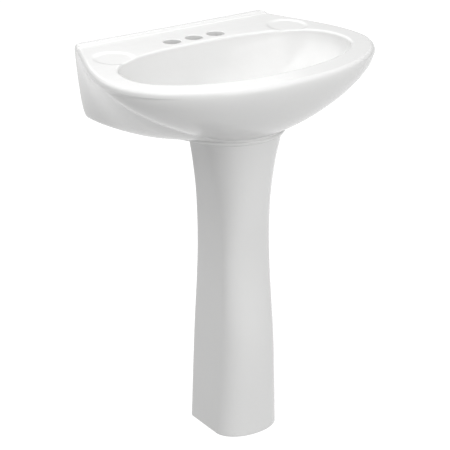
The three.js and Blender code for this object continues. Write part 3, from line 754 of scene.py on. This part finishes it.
# ------------------------------------------------------------------ wall fixings
# Two hanger bolts hold the basin to the wall: a wood screw thread goes into the studs, and
# inside the basin each has a rubber washer, a steel washer and a nut on its machine thread.


def lying(x, z):
    """Turns a piece drawn upright to lie along Y, with its height measured along Y."""
    return lambda rings: np.stack([x + rings[..., 0], rings[..., 2], z + rings[..., 1]], -1)


def flat_washer(name, node, outer, bore, place, ease):
    low, high = (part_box(node)[i].y / MM for i in (0, 1))
    profile = eased([(bore, low), (outer, low), (outer, high), (bore, high)], ease)
    return shell(name, place(turned(profile, 56)) * MM)


def hanger_bolt():
    """Radius and place along Y, from the machine thread to the wood thread's drawn-in point."""
    machine = thread(4.0, BACK - 45.5, BACK - 10, 1.25, 0.55)
    wood = thread(4.0, BACK + 4, BACK + 31.5, 2.6, 0.9)
    pointed = [(r - max(3.0 * (y - BACK - 24) / 8, 0), y) for r, y in wood]
    plain = [(3.95, BACK - 9), (3.95, BACK + 3)]
    return [(0.01, BACK - 46), (3.4, BACK - 46)] + machine + plain + pointed + [(0.01, BACK + 32)]


bolt = hanger_bolt()
for side, x in (("left", -BOLT_X), ("right", BOLT_X)):
    place = lying(x, BOLT_Z)
    rod = shell(f"hanger_bolt_screw_{side}", place(turned(bolt, 40)) * MM)
    fitted(rod, zinc, f"hanger_bolt_{side}")
    cushion = flat_washer(f"wall_rubber_washer_{side}", f"rubber_washer_{side}", 14, 4.6, place, 0.6)
    fitted(cushion, rubber, f"rubber_washer_{side}")
    plate = flat_washer(f"wall_steel_washer_{side}", f"steel_washer_{side}", 12, 4.4, place, 0.25)
    fitted(plate, zinc, f"steel_washer_{side}")
    low, high = (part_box(f"wall_nut_{side}")[i].y / MM for i in (0, 1))
    nut = six_sided(f"wall_hex_nut_{side}", 13, 4.3, low, high, place)
    fitted(nut, zinc, f"wall_nut_{side}")

# ------------------------------------------------------------------ pedestal
# A hollow china column, cast with its back open for the pipes. It stands on a U-shaped foot,
# and the basin's foot rests on its top edge with a thin bed of sealant.

COLUMN = [  # depth below the deck, half width, back edge, middle of the round front, its reach
    (154.3, 86, -103, -152, 85),
    (220, 70, -92, -153, 74),
    (300, 56, -80, -167, 51),
    (420, 54, -77, -175, 34),
    (600, 61, -69, -172, 50),
    (795, 70, -66, -164, 50),
]
COLUMN_WALL = 12.0


def column_at(depth):
    rows = np.array(COLUMN, float)
    at = int(np.clip(np.searchsorted(rows[:, 0], depth), 1, len(rows) - 1))
    before, start, end, after = (rows[int(np.clip(at + k, 0, len(rows) - 1))] for k in (-2, -1, 0, 1))
    span = end[0] - start[0]
    s = (depth - start[0]) / span
    leave = (end - before) / (end[0] - before[0]) if before[0] != start[0] else (end - start) / span
    arrive = (after - start) / (after[0] - start[0]) if after[0] != end[0] else (end - start) / span
    row = ((2 * s ** 3 - 3 * s ** 2 + 1) * start + (s ** 3 - 2 * s ** 2 + s) * span * leave
           + (3 * s ** 2 - 2 * s ** 3) * end + (s ** 3 - s ** 2) * span * arrive)
    half, back, middle, front = row[1:]
    return half, TAP_LINE + back, TAP_LINE + middle, front


def column_section(depth, trim=0.0):
    """The U of the wall at one level: round the outside from flange to flange, and back inside."""
    half, back, middle, front = column_at(depth)
    half, back, front = half - trim, back - trim, front - trim
    wall = COLUMN_WALL - 2 * trim
    outer, inner = [(half - 24, back - 2), (half - 23.4, back - 0.6), (half - 22, back)], []
    inner += [(half - 24, back - wall + 2), (half - 23.4, back - wall + 0.6), (half - 22, back - wall)]
    for tilt in np.radians(np.arange(0, 91, 10)):
        outer.append((half - 9 * (1 - math.sin(tilt)), back - 9 * (1 - math.cos(tilt))))
        inner.append((half - wall - 3 * (1 - math.sin(tilt)), back - wall - 3 * (1 - math.cos(tilt))))
    for tilt in np.linspace(0, math.pi / 2, 33)[1:]:
        c, s = max(math.cos(tilt), 0) ** 0.95, math.sin(tilt) ** 0.95
        outer.append((half * c, middle - front * s))
        inner.append(((half - wall) * c, middle - (front - wall) * s))
    outer, inner = np.array(outer), np.array(inner)
    mirror = [-1, 1]
    around = np.vstack([outer, outer[-2::-1] * mirror, inner[:-1] * mirror, inner[::-1]])
    return np.hstack([around, np.full((len(around), 1), DECK - depth)])


def pedestal_mesh():
    top, foot = COLUMN[0][0], COLUMN[-1][0]
    levels = [(top, 1.6), (top + 0.4, 0.8), (top + 1.6, 0)]
    levels += [(d, 0) for d in np.linspace(top + 4, foot - 5, 110)]
    levels += [(foot - 2.4, 0), (foot - 0.8, 0.6), (foot, 2.0)]
    rings = np.array([column_section(d, t) for d, t in levels]) * MM
    count, around = rings.shape[:2]
    i, j = np.meshgrid(np.arange(count - 1), np.arange(around), indexing="ij")
    k = (j + 1) % around
    faces = np.stack([i * around + j, i * around + k, (i + 1) * around + k, (i + 1) * around + j], -1)
    faces = faces.reshape(-1, 4).tolist()
    half = around // 2
    for base, flip in ((0, False), ((count - 1) * around, True)):
        for j in range(half - 1):
            a, b = base + j, base + j + 1
            c, d = base + around - 2 - j, base + around - 1 - j
            faces.append((a, b, c, d) if flip else (d, c, b, a))
    mesh = bpy.data.meshes.new("china_pedestal")
    mesh.from_pydata(rings.reshape(-1, 3).tolist(), [], faces)
    return mesh


fitted(finished("china_pedestal", pedestal_mesh()), china, "pedestal")

# ------------------------------------------------------------------ studio
# A plain white floor sheet, large soft boxes and the camera, at standing height.


def floor_sheet():
    """White paper, lit from inside so that it throws no grey shadow and no glare up on the china."""
    size = 9.0
    mesh = bpy.data.meshes.new("floor_sheet")
    corners = [(-size, -size, 0), (size, -size, 0), (size, size, 0), (-size, size, 0)]
    mesh.from_pydata(corners, [], [(0, 1, 2, 3)])
    sheet = bpy.data.objects.new("floor_sheet", mesh)
    bpy.context.scene.collection.objects.link(sheet)
    paper = Finish("white_paper", Emission_Strength=1.0, Roughness=0.9)
    grain = paper.noise(3, 2)
    paper.varies(
        Base_Color=paper.blend(grain, (0.10, 0.10, 0.10, 1), (0.12, 0.12, 0.12, 1)),
        Emission_Color=(1, 1, 1, 1))
    sheet.data.materials.append(paper.material)
    sheet.visible_diffuse = False
    sheet.visible_shadow = False


def soft_box(name, place, aim, width, height, power):
    light = bpy.data.lights.new(name, "AREA")
    light.shape = "RECTANGLE"
    light.size, light.size_y = width, height
    light.energy = power
    lamp = bpy.data.objects.new(name, light)
    lamp.location = place
    lamp.rotation_euler = (Vector(aim) - Vector(place)).to_track_quat("-Z", "Y").to_euler()
    bpy.context.scene.collection.objects.link(lamp)
    return lamp


floor_sheet()
AIM = Vector((0, -0.03, 0.6))


def seen_at(bearing, rise, away=3.3):
    """A place seen from the basin: bearing from its front, rise above its rim, both in degrees."""
    b, e = math.radians(bearing), math.radians(rise)
    return AIM + away * Vector((math.sin(b) * math.cos(e), -math.cos(b) * math.cos(e), math.sin(e)))


soft_box("front_box", seen_at(12, 40), AIM, 2.6, 2.2, 31)
soft_box("low_front_box", seen_at(8, 8), AIM, 2.2, 1.2, 24)
soft_box("left_box", seen_at(-75, 50), AIM, 2.4, 2.0, 30)
soft_box("wall_left_box", seen_at(-135, 40), AIM, 2.6, 2.0, 22)
soft_box("wall_right_box", seen_at(160, 35), AIM, 2.0, 1.6, 12)
soft_box("top_box", seen_at(0, 90, 2.8), AIM, 2.4, 2.4, 33)
soft_box("floor_bounce", seen_at(-20, -50), AIM, 2.8, 2.8, 19)

world = bpy.data.worlds.new("studio")
world.use_nodes = True
world.node_tree.nodes["Background"].inputs["Color"].default_value = (1, 1, 1, 1)
world.node_tree.nodes["Background"].inputs["Strength"].default_value = 0.34
bpy.context.scene.world = world
bpy.context.scene.view_settings.view_transform = "Standard"
bpy.context.scene.view_settings.look = "None"

lens = bpy.data.cameras.new("camera")
lens.sensor_width = 36
lens.lens = 138.40
lens.shift_x, lens.shift_y = -0.00136, 0.0003
lens.clip_end = 60
camera = bpy.data.objects.new("camera", lens)
camera.location = (-1.76009, -2.70943, 1.73649)
camera.rotation_mode = "XYZ"
TURN, TIP, LEAN = -0.574673, 0.384190, -0.014288   # of the camera: to the right, down, and about its axis
swung = Matrix.Rotation(TURN, 4, "Z") @ Matrix.Rotation(math.pi / 2 - TIP, 4, "X")
camera.rotation_euler = (swung @ Matrix.Rotation(LEAN, 4, "Z")).to_euler()
bpy.context.scene.collection.objects.link(camera)
bpy.context.scene.camera = camera
